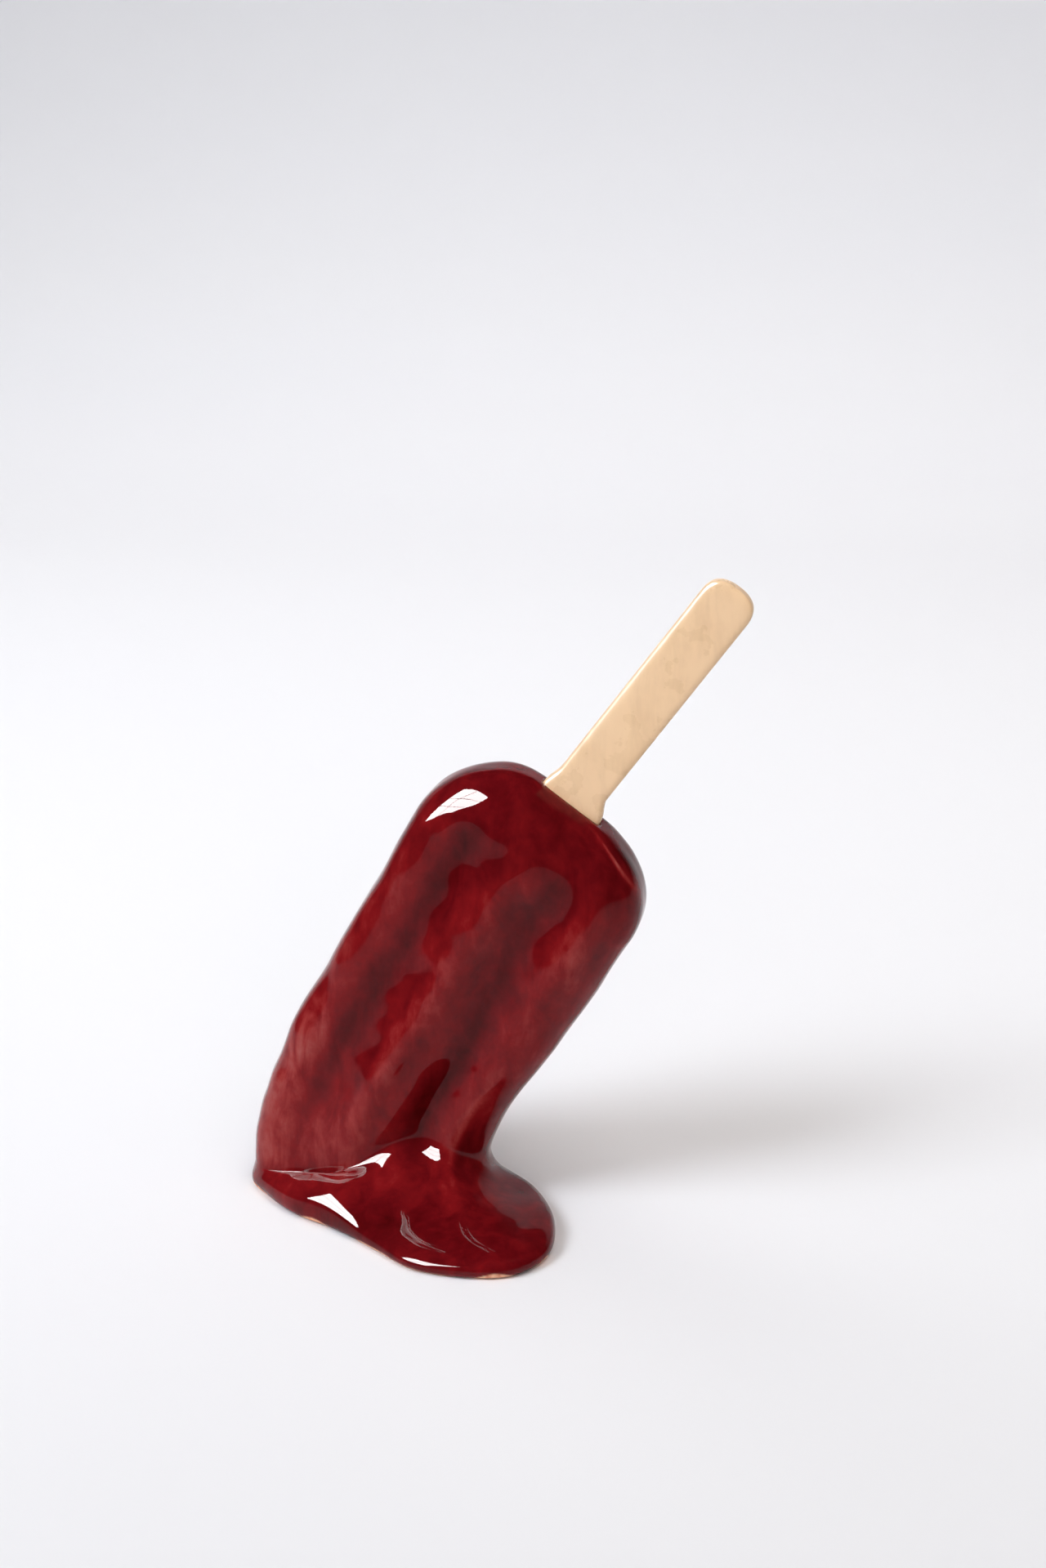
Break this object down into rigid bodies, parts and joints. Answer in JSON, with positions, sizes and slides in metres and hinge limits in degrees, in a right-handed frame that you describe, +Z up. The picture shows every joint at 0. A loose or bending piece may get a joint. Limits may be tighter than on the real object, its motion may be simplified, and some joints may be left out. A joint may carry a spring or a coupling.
{
  "type": "ceramic ice pop",
  "caption": "Glazed ceramic copy of an ice pop on a stick, leaning on a puddle of its own melt, that stands by itself as an ornament.",
  "frame": {"origin": "on the floor, under the middle of the object's bounding box", "axes": "+Z up, +X the way the slab leans, -Y the broad face that the puddle spreads from"},
  "size_m": [0.0916, 0.0504, 0.1194],
  "materials": {
    "red_glaze": "gloss",
    "cream_glaze": "gloss"
  },
  "bodies": {
    "root": {"ice_body": "red_glaze", "stick": "cream_glaze"}
  },
  "joints": []
}
